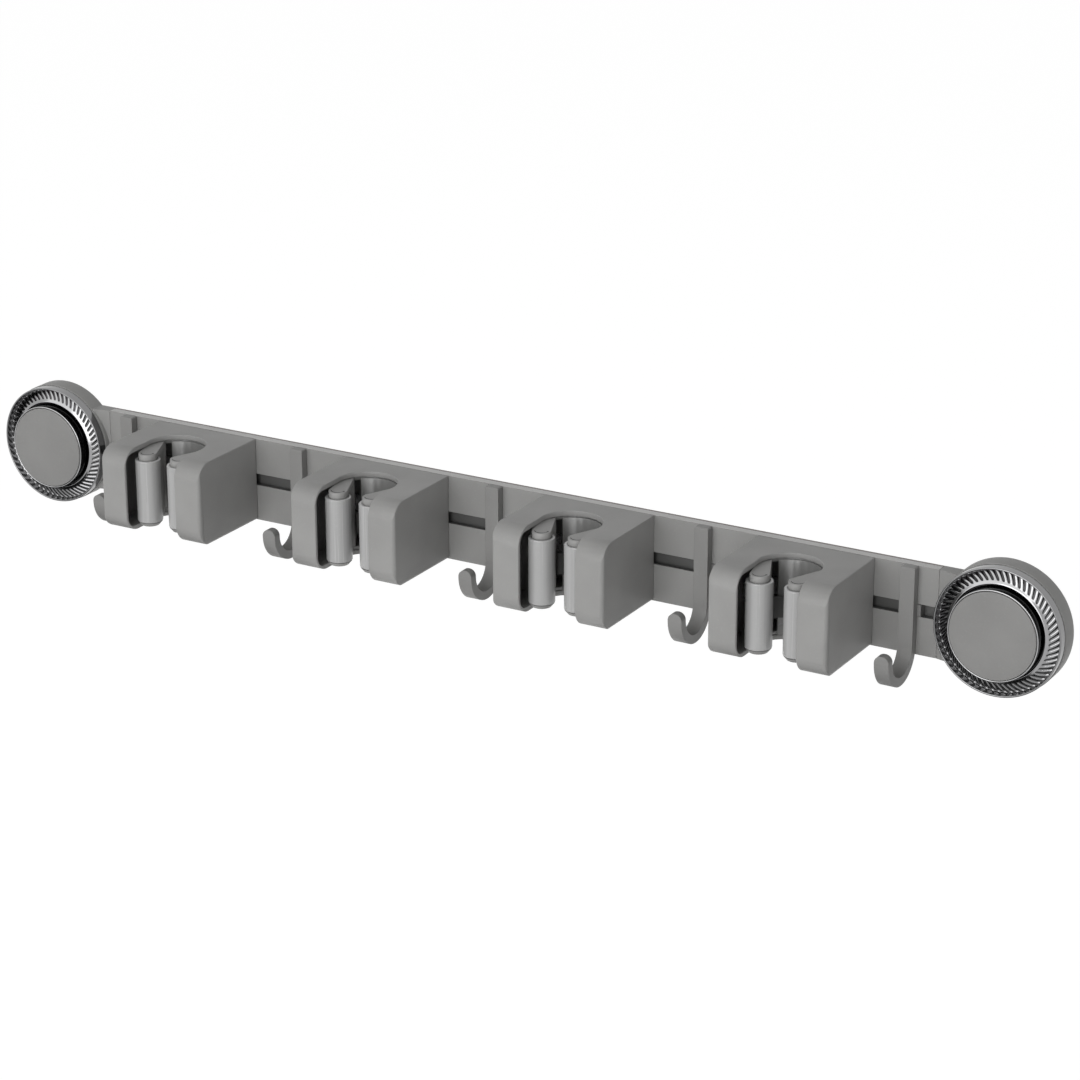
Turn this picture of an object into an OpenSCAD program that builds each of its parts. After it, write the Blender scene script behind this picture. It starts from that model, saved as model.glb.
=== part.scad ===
// Wall rack for mop and broom handles.
// A slotted rail between two round suction mounts carries four handle
// clips with sprung roller jaws and five coat hooks, all of which slide.
// X runs along the rail, Y runs into the wall and Z points up.
// The origin lies on the wall, at the middle of the rail.

/* [Rail] */
// Height of the rail and of the clips on it
rail_h = 50; // [48:0.5:52]
// Thickness of the rail from front to back
rail_t = 6.7; // [6.6:0.1:8]
// Height of the long slot in the front of the rail
slot_h = 7.1; // [6:0.1:9]
// Thickness of the two lips that edge the slot
lip_t = 2.2; // [1.8:0.1:2.4]
// Height of the track behind the lips
track_h = 14; // [12:0.5:18]
// Depth of the track behind the lips
track_d = 2.7; // [2.4:0.1:2.9]
// Space between the back of the rail and the wall
wall_gap = 5.3; // [5.3:0.1:7]

/* [Layout] */
// Number of handle clips
clip_count = 4; // [2:1:4]
// Distance from one clip to the next
clip_pitch = 131.65; // [128:0.05:150]
// Distance from the middle of an outer clip to the hook outside it
end_hook_reach = 55.5; // [52:0.5:57]
// Distance from the middle of an outer clip to the middle of its mount
mount_reach = 108.25; // [108:0.25:125]

/* [Clip housing] */
// Width of the clip housing
clip_w = 68.9; // [67:0.1:71]
// Thickness of the sides and the front of the housing
shell_t = 2; // [1.6:0.1:2.2]
// Thickness of the top of the housing
roof_t = 3; // [2.6:0.1:3.4]
// Thickness of the bottom of the housing
floor_t = 2.8; // [2.4:0.1:3.2]
// Radius of the long edges above and below the front
crown_r = 11; // [8:0.5:13]
// Radius of the upright front corners and of the lower side edges
corner_r = 2.2; // [2.2:0.1:3]
// Radius of the handle seat in the top
seat_r = 17.8; // [17.7:0.1:18.3]
// Radius of the handle seat in the bottom
seat_floor_r = 19; // [18.5:0.1:19.3]
// Distance from the rail to the middle of the handle seat
seat_d = 32; // [31.5:0.1:32.5]
// Distance from the middle of the seat to the front of the housing
mouth_l = 26.2; // [26:0.1:28]
// Width of the mouth that leads to the seat
mouth_w = 35; // [34:0.1:35.2]

/* [Clip core] */
// Thickness of the plate that lies on the rail
plate_t = 3; // [2.6:0.1:3.4]
// Thickness of the curved wall behind the seat
back_wall_t = 2; // [1.6:0.1:2.2]
// Gap between the curved wall and the top of the housing
back_wall_drop = 1; // [0.8:0.1:1.5]
// Angle that the curved wall spans
back_wall_span = 86; // [80:1:90]
// Thickness of the two shelves that hold the pivot pins
shelf_t = 2; // [1.8:0.1:2.2]
// Length of the runner that slides in the rail
runner_l = 30; // [24:1:36]
// Thickness of the rubber band that lines the seat
band_t = 1.3; // [1:0.1:1.5]
// Height of the rubber band
band_h = 12.2; // [11:0.2:14]
// Height of the middle of the band below the middle of the clip
band_drop = 5.4; // [5:0.2:8]
// Angle that the rubber band spans
band_span = 108; // [100:1:109]

/* [Jaws] */
// Distance from the middle of the clip to a jaw's pivot
pivot_x = 18.5; // [18.5:0.1:19]
// How far a jaw's pivot lies behind the middle of the seat
pivot_back = 10.5; // [10.2:0.1:11]
// Distance from the middle of the clip to a roller
roller_x = 11.2; // [11:0.1:11.6]
// How far a roller lies ahead of the middle of the seat
roller_ahead = 11.85; // [11.4:0.05:12]
// Radius of a roller
roller_r = 7.4; // [7:0.1:7.5]
// Radius of the round end of a jaw's upper arm
cap_r = 5.3; // [5:0.1:5.6]
// Radius of the barrel round a pivot pin
barrel_r = 3; // [2.9:0.1:3.3]
// Radius of a pivot pin
pin_r = 1.5; // [1.2:0.1:1.6]
// Thickness of a jaw's upper arm
arm_t = 3.2; // [2.8:0.1:3.4]
// Thickness of a jaw's lower arm
toe_t = 2.2; // [2:0.1:2.4]
// Radius of the round journals at the ends of a roller
journal_r = 2; // [1.6:0.1:2.2]
// Depth of the recess in the top of a roller
recess_d = 0.6; // [0.4:0.1:0.8]
// Thickness of the leaf spring behind the jaws
leaf_t = 0.5; // [0.4:0.1:0.6]
// Height of the leaf spring
leaf_h = 10; // [8:1:14]
// How far ahead of its pivot the leaf spring touches a jaw
leaf_reach = 9.4; // [8:0.2:11]

/* [Hooks] */
// Width of a hook
hook_w = 8.4; // [7:0.1:9]
// Thickness of a hook
hook_t = 5; // [4:0.1:5.5]
// Outer radius of the bend at the foot of a hook
bend_r = 17.25; // [15:0.25:19]
// Distance from the bottom of the rail up to the middle of the bend
bend_rise = 5.75; // [4:0.25:8]
// Size of the sloping edge round the top of a hook
hook_bevel = 0.6; // [0.4:0.1:0.8]
// Length of the runner behind a hook
hook_runner_l = 12.4; // [10.4:0.2:13]

/* [Suction mounts] */
// Outer radius of the mount body
body_r = 36; // [35.7:0.1:38]
// Thickness of the walls of the mount body
body_t = 2; // [1.8:0.1:2.2]
// Distance from the front of the rail to the front rim of the body
body_front = 3.5; // [3:0.1:4.5]
// Thickness of the floor of the mount body
mount_floor_t = 1.2; // [1:0.1:1.3]
// Distance from the middle of the mount to the end of the rail
rail_inset = 37; // [37:0.25:39]
// Length of the two tenons that enter the end of the rail
tenon_l = 12; // [8:0.5:14]
// Height of a tenon
tenon_h = 10; // [8:0.5:12]
// Thickness of a tenon
tenon_t = 3; // [2.6:0.1:3.2]
// How far the side of the fluted ring lies inside the side of the body
ring_step = 0.7; // [0.4:0.1:1]
// Radius of the rounded shoulder of the ring
shoulder_r = 5.2; // [4.5:0.1:5.4]
// Width of the groove between the ring and its drum
groove_w = 1.2; // [1:0.1:1.8]
// Distance from the front of the rail to the face of the ring
ring_front = 14.5; // [14:0.1:15]
// Depth of the groove between the ring and its drum
groove_d = 6; // [5:0.1:6.2]
// Number of flutes round the shoulder
flute_count = 72; // [60:1:80]
// Radius of the rod shape that cuts a flute
flute_r = 0.9; // [0.6:0.1:1]
// How deep a flute cuts into the shoulder
flute_d = 0.6; // [0.4:0.05:0.7]
// Angle that the flutes lean
flute_lean = 28; // [0:1:35]
// Thickness of the wall of the drum that holds the round plate
drum_t = 1.2; // [1:0.1:1.4]
// Distance from the front of the rail to the rim of the drum
drum_front = 15.5; // [15:0.1:15.8]
// Radius of the round plate in the middle
disc_r = 25.5; // [24.8:0.1:25.8]
// Distance from the front of the rail to the front of the round plate
disc_front = 16; // [15.6:0.1:17]
// Radius of the rounded edge of the round plate
disc_edge_r = 0.7; // [0.4:0.1:1]
// Radius of the pull stud
stud_r = 4; // [3.6:0.1:4.5]
// Radius of the flanges of the pull stud
flange_r = 6.5; // [6:0.1:7]
// Thickness of the flanges of the pull stud
flange_t = 1; // [0.8:0.1:1.1]
// How far the stud pulls the middle of the pad off the wall
pull = 1; // [0.6:0.1:1.1]
// Outer radius of the suction pad
pad_r = 31; // [29:0.5:31]
// Width of the flat rim of the pad that meets the wall
pad_rim = 3; // [2:0.5:4]
// Thickness of the pad's skin before and behind the stud
pad_skin = 0.5; // [0.4:0.1:0.6]
// Radius at which the flat middle of the pad's front ends
pad_shoulder_r = 21.7; // [18:0.1:24]
// Thickness of the pad's lip next to its rim
pad_lip_t = 1.2; // [1:0.1:1.4]

/* [Fits] */
// Gap between pieces that lie against each other
seat_gap = 0.3; // [0.25:0.05:0.35]
// Gap between the rail and what slides in it
slide_gap = 0.3; // [0.2:0.05:0.4]
// Gap between a pin or stud and the hole that turns on it
turn_gap = 0.05; // [0.03:0.01:0.08]
// Gap between a pin and the hole that holds it
press_gap = 0.02; // [0.01:0.01:0.03]
// Gap between a roller and the jaw beside it
roller_gap = 0.4; // [0.3:0.05:0.5]

/* [Hidden] */
$fn = 96;
cut = 1;
sliver = 0.01;
rail_front = -(wall_gap + rail_t);
clip_h = rail_h;
clip_top = clip_h / 2;
clip_bottom = -clip_h / 2;
clip_d = seat_d + mouth_l;
pivot_d = seat_d - pivot_back;
roller_d = seat_d + roller_ahead;
roof_z = clip_top - roof_t;
floor_z = clip_bottom + floor_t;
row_half = (clip_count - 1) / 2 * clip_pitch;
mount_x = row_half + mount_reach;
rail_l = 2 * (mount_x - rail_inset);
tenon_z = (track_h + rail_h) / 4;
hook_count = clip_count + 1;
sides = ["left", "right"];

// Jaw, in its own frame: the pivot is the origin and the roller lies ahead
jaw_l = norm([pivot_x - roller_x, roller_d - pivot_d]);
jaw_angle = atan2(pivot_x - roller_x, roller_d - pivot_d);
grip_tip = 4;
grip_root = 1.95;
back_tip = 0.5;
back_root = 2.5;
toe_bottom = floor_z + seat_gap;
roller_bottom = toe_bottom + toe_t + seat_gap;
arm_top = roof_z - seat_gap;
roller_top = arm_top - arm_t - seat_gap;
shelf_top = roof_z - seat_gap;
shelf_bottom = floor_z + seat_gap;
lug_r = barrel_r;
end_gap = 0.2;
blind_t = 0.4;
journal_l = toe_t - blind_t - end_gap;

// Cap mark: its arc, its width and depth, and the pit at its end
mark_r = 3.8;
mark_w = 0.35;
mark_d = 0.35;
mark_turn = 200;
mark_span = 135;
pit_r = 0.45;

// Small shapes
inner_corner_r = 0.6;
inner_crown_r = 6;
tip_flat = 0.6;
leaf_bend = 2;
roller_chamfer = 0.4;
body_edge = 1;

// Ring and stud, measured forward from the front of the rail
web_front = ring_front - groove_d;
web_t = 1.5;
skirt_t = 2;
skirt_back = 1.8;
ring_edge_r = 0.5;
hub_r = 8;
pad_hub_r = 10;
ring_r = body_r - ring_step;
drum_r = disc_r + seat_gap + drum_t;
groove_r = drum_r + groove_w;
floor_back = rail_t + seat_gap / 2;
floor_rear = floor_back + mount_floor_t;
pad_front = floor_rear + seat_gap;
pad_back = rail_t + wall_gap;

// Places along the rail
function clip_x(i) = (i - 1) * clip_pitch - row_half;
function hook_x(i) =
    i == 1 ? -row_half - end_hook_reach
    : i == hook_count ? row_half + end_hook_reach
    : (i - 1 - clip_count / 2) * clip_pitch;

// A point of the right jaw's frame, in the clip's frame
function from_jaw(p) = [
    pivot_x + p[0] * cos(jaw_angle) + p[1] * sin(jaw_angle),
    -pivot_d - p[0] * sin(jaw_angle) + p[1] * cos(jaw_angle)
];

module at_clip(i) {
    translate([clip_x(i), rail_front, 0]) children();
}

module at_hook(i) {
    translate([hook_x(i), rail_front, 0]) children();
}

// The left mount is the right one mirrored
module at_mount(side) {
    mirror([side == "left" ? 1 : 0, 0, 0])
        translate([mount_x, rail_front, 0])
            children();
}

// Turns a shape built upwards so that it points to the front
module facing_front() {
    rotate([90, 0, 0]) children();
}

// The left jaw is the right one mirrored
module at_jaw(side) {
    mirror([side == "left" ? 1 : 0, 0, 0])
        translate([pivot_x, -pivot_d, 0])
            rotate([0, 0, -jaw_angle])
                children();
}

// What a rounded corner leaves out, with the shape on the sx, sy side
module corner_bit(r, sx, sy) {
    difference() {
        translate([sx > 0 ? -cut : -r, sy > 0 ? -cut : -r])
            square([r + cut, r + cut]);
        translate([sx * r, sy * r]) circle(r);
    }
}

// A wedge round the +Y axis, long enough to hold a ring of radius r
module sector(a, r) {
    far = r / cos(a / 2) + cut;
    polygon([
        [0, 0],
        [-far * sin(a / 2), far * cos(a / 2)],
        [far * sin(a / 2), far * cos(a / 2)]
    ]);
}

// A flat strip that follows a list of points
module strip(points, t) {
    for (k = [0:len(points) - 2]) {
        step = points[k + 1] - points[k];
        translate(points[k])
            rotate(atan2(step[1], step[0]))
                translate([0, -t / 2])
                    square([norm(step), t]);
        translate(points[k]) circle(t / 2, $fn = 24);
    }
}

// Rail

module rail() {
    color("dimgray")
    difference() {
        translate([-rail_l / 2, rail_front, -rail_h / 2])
            cube([rail_l, rail_t, rail_h]);
        translate([-rail_l / 2 - cut, rail_front - cut, -slot_h / 2])
            cube([rail_l + 2 * cut, lip_t + 2 * cut, slot_h]);
        translate([-rail_l / 2 - cut, rail_front + lip_t, -track_h / 2])
            cube([rail_l + 2 * cut, track_d, track_h]);
        for (s = [-1, 1])
            translate([s * rail_l / 2, rail_front, 0])
                tenons(2 * (tenon_l + seat_gap), seat_gap / 2);
    }
}

// Two flat tenons, or with a gap the mortises that take them
module tenons(l, gap) {
    for (z = [-tenon_z, tenon_z])
        translate([0, rail_t / 2, z])
            cube([l, tenon_t + 2 * gap, tenon_h + 2 * gap], center = true);
}

// The tee that runs in the rail's slot, centred on its carrier
module runner(l) {
    neck_h = slot_h - 2 * slide_gap;
    head_h = track_h - 2 * slide_gap;
    head_front = lip_t + slide_gap;
    translate([-l / 2, -seat_gap - sliver, -neck_h / 2])
        cube([l, head_front + seat_gap + 2 * sliver, neck_h]);
    translate([-l / 2, head_front, -head_h / 2])
        cube([l, track_d - 2 * slide_gap, head_h]);
}

// Hooks

module hook(i) {
    bend_z = -rail_h / 2 + bend_rise;
    bend_y = -seat_gap - bend_r;
    color("dimgray")
    at_hook(i) {
        runner(hook_runner_l);
        difference() {
            translate([-hook_w / 2, 0, 0])
                rotate([90, 0, 90])
                    linear_extrude(hook_w) hook_profile(bend_y, bend_z);
            hook_bevels();
            translate([0, bend_y, bend_z + hook_w / 2]) tip_corners();
        }
    }
}

// The hook seen from its side
module hook_profile(bend_y, bend_z) {
    translate([-seat_gap - hook_t, bend_z])
        square([hook_t, rail_h / 2 - bend_z]);
    translate([bend_y - bend_r, bend_z])
        square([hook_t, hook_w / 2]);
    translate([bend_y, bend_z])
        difference() {
            circle(bend_r);
            circle(bend_r - hook_t);
            translate([-bend_r - cut, 0])
                square([2 * (bend_r + cut), bend_r + cut]);
        }
}

// The sloping edges round the top of the hook
module hook_bevels() {
    side = hook_bevel * sqrt(2);
    translate([0, -seat_gap - hook_t, rail_h / 2])
        rotate([45, 0, 0])
            cube([hook_w + cut, side, side], center = true);
    for (s = [-1, 1])
        translate([s * hook_w / 2, -seat_gap - hook_t / 2, rail_h / 2])
            rotate([0, 45, 0])
                cube([side, hook_t + cut, side], center = true);
}

// What the rounded corners of the tip leave out
module tip_corners() {
    r = (hook_w - tip_flat) / 2;
    facing_front()
        linear_extrude(bend_r + cut)
            for (s = [-1, 1])
                translate([s * hook_w / 2, 0]) corner_bit(r, -s, -1);
}

// Clip housing

// A block rounded above and below its front, at its front corners and at its lower sides
module clip_block(w, front, back, low, high, crown, corner) {
    intersection() {
        translate([-w / 2, 0, 0])
            rotate([90, 0, 90])
                linear_extrude(w)
                    difference() {
                        translate([-front, low]) square([front - back, high - low]);
                        translate([-front, high]) corner_bit(crown, 1, -1);
                        translate([-front, low]) corner_bit(crown, 1, 1);
                    }
        translate([0, 0, low - cut])
            linear_extrude(high - low + 2 * cut)
                difference() {
                    translate([-w / 2, -front]) square([w, front - back + cut]);
                    translate([-w / 2, -front]) corner_bit(corner, 1, 1);
                    translate([w / 2, -front]) corner_bit(corner, -1, 1);
                }
        facing_front()
            linear_extrude(front + cut)
                difference() {
                    translate([-w / 2, low]) square([w, high - low]);
                    translate([-w / 2, low]) corner_bit(corner, 1, 1);
                    translate([w / 2, low]) corner_bit(corner, -1, 1);
                }
    }
}

module housing(i) {
    color("gray")
    at_clip(i)
        difference() {
            clip_block(clip_w, clip_d, seat_gap, clip_bottom, clip_top, crown_r, corner_r);
            clip_block(
                clip_w - 2 * shell_t, clip_d - shell_t, seat_gap - cut,
                floor_z, roof_z, inner_crown_r, inner_corner_r
            );
            translate([0, -seat_d, 0])
                cylinder(r = seat_r, h = clip_top + cut);
            translate([0, -seat_d, clip_bottom - cut])
                cylinder(r = seat_floor_r, h = floor_t + 2 * cut);
            translate([-mouth_w / 2, -clip_d - cut, clip_bottom - cut])
                cube([mouth_w, mouth_l + cut, clip_h + 2 * cut]);
        }
}

// Clip core

module core(i) {
    color("darkslategray")
    at_clip(i) {
        core_plate();
        back_wall();
        for (z = [shelf_bottom, shelf_top - shelf_t])
            translate([0, 0, z]) shelf();
        runner(runner_l);
    }
}

module core_plate() {
    w = clip_w - 2 * (shell_t + seat_gap);
    translate([-w / 2, -seat_gap - plate_t, floor_z + seat_gap])
        cube([w, plate_t, roof_z - floor_z - 2 * seat_gap]);
}

// The curved wall that stops the handle
module back_wall() {
    inner = seat_r + end_gap;
    translate([0, -seat_d, floor_z + seat_gap])
        linear_extrude(roof_z - floor_z - seat_gap - back_wall_drop)
            intersection() {
                difference() {
                    circle(inner + back_wall_t);
                    circle(inner);
                }
                sector(back_wall_span, inner + back_wall_t);
            }
}

// A shelf that joins the plate to the curved wall and to the pivot pins
module shelf() {
    linear_extrude(shelf_t)
        difference() {
            union() {
                translate([-pivot_x - lug_r, -pivot_d])
                    square([2 * (pivot_x + lug_r), pivot_d - seat_gap - plate_t / 2]);
                for (s = [-1, 1])
                    translate([s * pivot_x, -pivot_d]) circle(lug_r);
            }
            translate([0, -seat_d]) circle(seat_floor_r + end_gap);
            for (s = [-1, 1])
                translate([s * pivot_x, -pivot_d]) circle(pin_r + press_gap);
        }
}

// The soft band that lines the back of the seat
module band(i) {
    outer = seat_r + end_gap - seat_gap;
    color("dimgray")
    at_clip(i)
        translate([0, -seat_d, -band_drop - band_h / 2])
            linear_extrude(band_h)
                intersection() {
                    difference() {
                        circle(outer);
                        circle(outer - band_t);
                    }
                    sector(band_span, outer);
                }
}

// The bent leaf that pushes both jaws inwards
module leaf_spring(i) {
    base_y = -seat_gap - plate_t - seat_gap - leaf_t / 2;
    side_x = clip_w / 2 - shell_t - 2 * seat_gap - leaf_t / 2;
    heel = from_jaw([back_root + seat_gap + leaf_t / 2, -leaf_reach]);
    half = [
        [side_x - leaf_bend, base_y],
        [side_x, base_y - leaf_bend],
        [side_x, -pivot_d],
        heel
    ];
    color("silver")
    at_clip(i)
        translate([0, 0, -leaf_h / 2])
            linear_extrude(leaf_h) {
                translate([0, base_y])
                    square([2 * (side_x - leaf_bend), leaf_t], center = true);
                strip(half, leaf_t);
                mirror([1, 0]) strip(half, leaf_t);
            }
}

// Jaws

module pivot_pin(side, i) {
    color("silver")
    at_clip(i)
        at_jaw(side)
            translate([0, 0, shelf_bottom + end_gap])
                cylinder(r = pin_r, h = shelf_top - shelf_bottom - 2 * end_gap);
}

// The flank of a jaw, seen from above
module jaw_outline() {
    polygon([
        [-grip_tip, -jaw_l],
        [-grip_root, 0],
        [back_root, 0],
        [back_tip, -jaw_l]
    ]);
}

module jaw_blade() {
    low = toe_bottom;
    high = arm_top;
    translate([0, 0, low])
        linear_extrude(high - low)
            difference() {
                jaw_outline();
                translate([0, -jaw_l]) circle(roller_r + roller_gap);
                circle(lug_r + roller_gap);
            }
}

module jaw_barrel() {
    low = shelf_bottom + shelf_t + seat_gap;
    high = shelf_top - shelf_t - seat_gap;
    translate([0, 0, low])
        linear_extrude(high - low)
            difference() {
                union() {
                    jaw_outline();
                    circle(barrel_r);
                }
                translate([0, -jaw_l]) circle(roller_r + roller_gap);
            }
}

// The upper arm, with the round cap that shows above the roller
module jaw_arm() {
    low = roller_top + seat_gap;
    translate([0, 0, low])
        linear_extrude(arm_top - low)
            difference() {
                polygon([
                    [-cap_r, -jaw_l],
                    [-barrel_r, 0],
                    [barrel_r, 0],
                    [cap_r, -jaw_l]
                ]);
                circle(lug_r + roller_gap);
            }
    translate([0, -jaw_l, low - recess_d])
        cylinder(r = cap_r, h = arm_top - low + recess_d);
}

// The lower arm, which tapers below the roller
module jaw_toe() {
    translate([0, -jaw_l, toe_bottom])
        cylinder(r1 = cap_r, r2 = roller_r - seat_gap, h = toe_t);
    translate([0, 0, toe_bottom])
        linear_extrude(toe_t)
            difference() {
                jaw_outline();
                circle(lug_r + roller_gap);
            }
}

// The curved mark on the cap, which ends in a small pit
module cap_mark(side) {
    flip = side == "left" ? 1 : 0;
    translate([0, -jaw_l, arm_top - mark_d])
        rotate([0, 0, jaw_angle])
            mirror([flip, 0, 0]) {
                rotate([0, 0, mark_turn])
                    linear_extrude(mark_d + cut)
                        intersection() {
                            difference() {
                                circle(mark_r + mark_w / 2);
                                circle(mark_r - mark_w / 2);
                            }
                            sector(mark_span, cap_r);
                        }
                translate([mark_r, 0, 0]) cylinder(r = pit_r, h = mark_d + cut, $fn = 24);
            }
}

module jaw(side, i) {
    bore_r = pin_r + turn_gap;
    journal_bore_r = journal_r + turn_gap;
    journal_bore_l = journal_l + end_gap;
    color("gray")
    at_clip(i)
        at_jaw(side)
            difference() {
                union() {
                    jaw_blade();
                    jaw_barrel();
                    jaw_arm();
                    jaw_toe();
                }
                translate([0, 0, clip_bottom]) cylinder(r = bore_r, h = clip_h);
                translate([0, -jaw_l, toe_bottom + toe_t - journal_bore_l])
                    cylinder(r = journal_bore_r, h = journal_bore_l + cut);
                translate([0, -jaw_l, roller_top - recess_d])
                    cylinder(r = journal_bore_r, h = journal_bore_l + seat_gap + cut);
                cap_mark(side);
            }
}

// A roller with round journals at both ends, dished on top
module roller(side, i) {
    lip_r = cap_r + roller_gap;
    edge_r = roller_r - roller_chamfer;
    color("darkgray")
    at_clip(i)
        at_jaw(side)
            translate([0, -jaw_l, 0])
                rotate_extrude()
                    polygon([
                        [0, roller_bottom - journal_l],
                        [journal_r, roller_bottom - journal_l],
                        [journal_r, roller_bottom],
                        [edge_r, roller_bottom],
                        [roller_r, roller_bottom + roller_chamfer],
                        [roller_r, roller_top - roller_chamfer],
                        [edge_r, roller_top],
                        [lip_r, roller_top],
                        [lip_r, roller_top - recess_d],
                        [journal_r, roller_top - recess_d],
                        [journal_r, roller_top - recess_d + seat_gap + journal_l],
                        [0, roller_top - recess_d + seat_gap + journal_l]
                    ]);
}

// Suction mounts

// The neck that meets the end of the rail, sloping up to the rim of the body
module neck() {
    reach = rail_inset - seat_gap / 2;
    inner_r = body_r - body_t;
    root = sqrt(pow(inner_r, 2) - pow(rail_h / 2, 2));
    difference() {
        translate([0, 0, -rail_h / 2])
            linear_extrude(rail_h)
                polygon([
                    [-reach, 0],
                    [-reach, rail_t],
                    [-root + cut, rail_t],
                    [-root + cut, -body_front],
                    [-root, -body_front]
                ]);
        translate([0, floor_back, 0])
            facing_front()
                cylinder(r = inner_r, h = floor_back + body_front + cut);
    }
    translate([-reach - tenon_l / 2 + cut / 2, 0, 0])
        tenons(tenon_l + cut, 0);
}

module mount_body(side) {
    color("dimgray")
    at_mount(side) {
        facing_front()
            rotate_extrude()
                polygon([
                    [stud_r + seat_gap, -floor_rear],
                    [body_r - body_edge, -floor_rear],
                    [body_r, -floor_rear + body_edge],
                    [body_r, body_front],
                    [body_r - body_t, body_front],
                    [body_r - body_t, -floor_back],
                    [stud_r + seat_gap, -floor_back]
                ]);
        neck();
    }
}

module suction_pad(side) {
    cavity_r = flange_r + seat_gap;
    cavity_front = pad_front + pad_skin;
    cavity_back = cavity_front + flange_t + pull + 2 * end_gap;
    middle_back = cavity_back + pad_skin;
    color("gainsboro")
    at_mount(side)
        facing_front()
            rotate_extrude()
                polygon([
                    [stud_r + seat_gap, -pad_front],
                    [pad_shoulder_r, -pad_front],
                    [pad_r, -pad_back + 2 * pad_skin],
                    [pad_r, -pad_back],
                    [pad_r - pad_rim, -pad_back],
                    [pad_shoulder_r, -pad_back + pad_lip_t],
                    [pad_hub_r, -middle_back],
                    [0, -middle_back],
                    [0, -cavity_back],
                    [cavity_r, -cavity_back],
                    [cavity_r, -cavity_front],
                    [stud_r + seat_gap, -cavity_front]
                ]);
}

// The stud that pulls the middle of the pad, drawn at the locked place
module pull_stud(side) {
    head_back = pad_front + pad_skin + end_gap + flange_t;
    front = web_front + end_gap + pull + flange_t;
    color("silver")
    at_mount(side)
        facing_front()
            rotate_extrude()
                polygon([
                    [0, -head_back],
                    [flange_r, -head_back],
                    [flange_r, -head_back + flange_t],
                    [stud_r, -head_back + flange_t],
                    [stud_r, front - flange_t],
                    [flange_r, front - flange_t],
                    [flange_r, front],
                    [0, front]
                ]);
}

module knob_ring(side) {
    color("silver")
    at_mount(side)
        facing_front()
            difference() {
                rotate_extrude() ring_profile();
                flutes(side == "left" ? -flute_lean : flute_lean);
            }
}

// Half the section of the ring, with its skirt, web, hub and drum
module ring_profile() {
    bore_r = stud_r + turn_gap;
    skirt_r = body_r - body_t - seat_gap;
    ring_back = body_front + seat_gap;
    difference() {
        translate([bore_r, skirt_back])
            square([ring_r - bore_r, ring_front - skirt_back]);
        translate([ring_r, ring_front]) corner_bit(shoulder_r, -1, -1);
        translate([skirt_r, skirt_back - cut])
            square([ring_r - skirt_r + cut, ring_back - skirt_back + cut]);
        translate([hub_r, skirt_back - cut])
            square([skirt_r - skirt_t - hub_r, web_front - web_t - skirt_back + cut]);
        translate([bore_r - cut, web_front])
            square([groove_r - bore_r + cut, groove_d + cut]);
        translate([groove_r, ring_front]) corner_bit(ring_edge_r, 1, -1);
    }
    translate([drum_r - drum_t, web_front - web_t])
        square([drum_t, drum_front - web_front + web_t]);
}

// The leaning flutes, cut by rods that lie across the middle of the shoulder
module flutes(lean) {
    reach = (shoulder_r + flute_r - flute_d) * sqrt(1 / 2);
    for (k = [0:flute_count - 1])
        rotate([0, 0, k * 360 / flute_count])
            translate([ring_r - shoulder_r + reach, 0, ring_front - shoulder_r + reach])
                rotate([0, -45, 0])
                    rotate([lean, 0, 0])
                        cylinder(r = flute_r, h = 2 * shoulder_r, center = true, $fn = 24);
}

// The flat plate in the middle of the ring
module knob_disc(side) {
    back = web_front + seat_gap;
    recess_r = flange_r + 1;
    recess_front = web_front + pull + flange_t + 3 * end_gap;
    color("gray")
    at_mount(side)
        facing_front()
            difference() {
                rotate_extrude()
                    difference() {
                        translate([0, back]) square([disc_r, disc_front - back]);
                        translate([disc_r, disc_front]) corner_bit(disc_edge_r, -1, -1);
                    }
                translate([0, 0, back - cut])
                    cylinder(r = recess_r, h = recess_front - back + cut);
            }
}

rail();
for (s = sides) {
    mount_body(s);
    suction_pad(s);
    pull_stud(s);
    knob_ring(s);
    knob_disc(s);
}
for (i = [1:hook_count])
    hook(i);
for (i = [1:clip_count]) {
    housing(i);
    core(i);
    band(i);
    leaf_spring(i);
    for (s = sides) {
        pivot_pin(s, i);
        jaw(s, i);
        roller(s, i);
    }
}
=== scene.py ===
"""Dresses the wall rack for mop and broom handles around its fixed frame.

Lengths in the classes of the pieces are millimetres and become metres when a mesh is made.
The finishes, the lamps and the studio are in metres. X runs along the rail, Y into the wall
and Z points up.
"""

from __future__ import annotations

import logging
import math
from collections.abc import Callable, Sequence
from dataclasses import dataclass, field
from enum import Enum

import bmesh
import bpy
from mathutils import Matrix, Vector

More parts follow.
